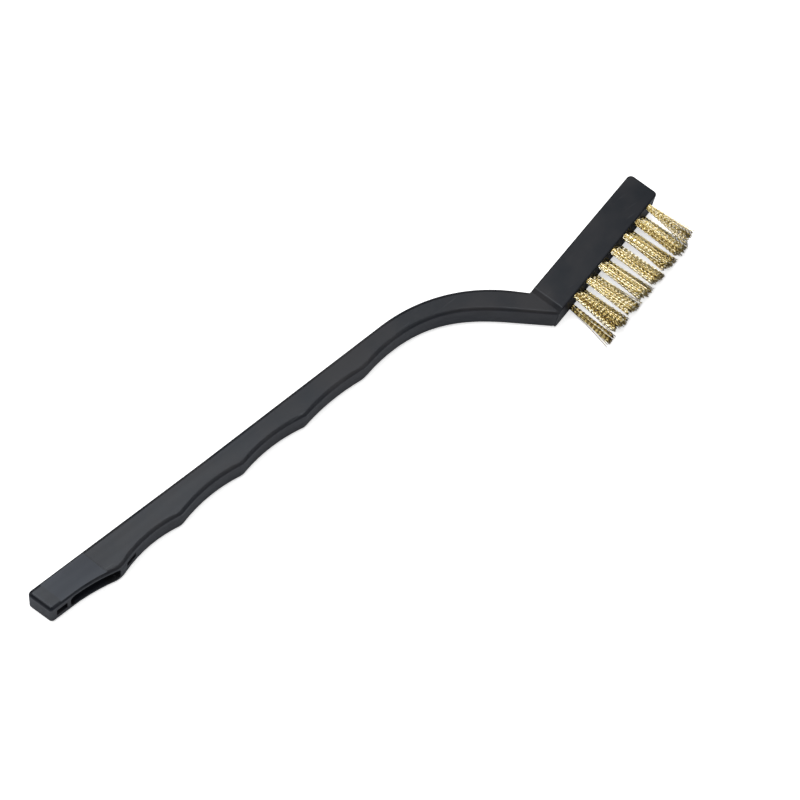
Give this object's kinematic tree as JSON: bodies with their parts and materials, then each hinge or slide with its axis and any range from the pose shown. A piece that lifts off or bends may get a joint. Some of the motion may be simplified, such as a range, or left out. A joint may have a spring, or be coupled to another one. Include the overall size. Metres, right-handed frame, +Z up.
{
  "type": "brass wire brush",
  "caption": "Slim hand brush with crimped brass wire tufts set in the side of an angled head, on a curved black plastic handle with finger hollows and a hanging slot.",
  "frame": {"origin": "centre of the bounding box in X and Y, on the surface that the brush lies on", "axes": "+X along the straight grip from the tail to the head, +Y towards the back of the brush, the wires point to -Y, +Z up across the thickness as the brush lies on its side"},
  "size_m": [0.1778, 0.0352, 0.0095],
  "materials": {
    "handle_plastic": "satin black moulded plastic with a fine grain",
    "brass_wire": "bright crimped wire, browner near some roots",
    "anchor_strip": "plain rolled strip"
  },
  "bodies": {
    "root": {"handle": "handle_plastic", "tuft_upper_1": "brass_wire", "tuft_upper_2": "brass_wire", "tuft_upper_3": "brass_wire", "tuft_upper_4": "brass_wire", "tuft_upper_5": "brass_wire", "tuft_upper_6": "brass_wire", "tuft_upper_7": "brass_wire", "tuft_middle_1": "brass_wire", "tuft_middle_2": "brass_wire", "tuft_middle_3": "brass_wire", "tuft_middle_4": "brass_wire", "tuft_middle_5": "brass_wire", "tuft_middle_6": "brass_wire", "tuft_lower_1": "brass_wire", "tuft_lower_2": "brass_wire", "tuft_lower_3": "brass_wire", "tuft_lower_4": "brass_wire", "tuft_lower_5": "brass_wire", "tuft_lower_6": "brass_wire", "tuft_lower_7": "brass_wire", "anchor_upper_1": "anchor_strip", "anchor_upper_2": "anchor_strip", "anchor_upper_3": "anchor_strip", "anchor_upper_4": "anchor_strip", "anchor_upper_5": "anchor_strip", "anchor_upper_6": "anchor_strip", "anchor_upper_7": "anchor_strip", "anchor_middle_1": "anchor_strip", "anchor_middle_2": "anchor_strip", "anchor_middle_3": "anchor_strip", "anchor_middle_4": "anchor_strip", "anchor_middle_5": "anchor_strip", "anchor_middle_6": "anchor_strip", "anchor_lower_1": "anchor_strip", "anchor_lower_2": "anchor_strip", "anchor_lower_3": "anchor_strip", "anchor_lower_4": "anchor_strip", "anchor_lower_5": "anchor_strip", "anchor_lower_6": "anchor_strip", "anchor_lower_7": "anchor_strip"}
  },
  "joints": []
}
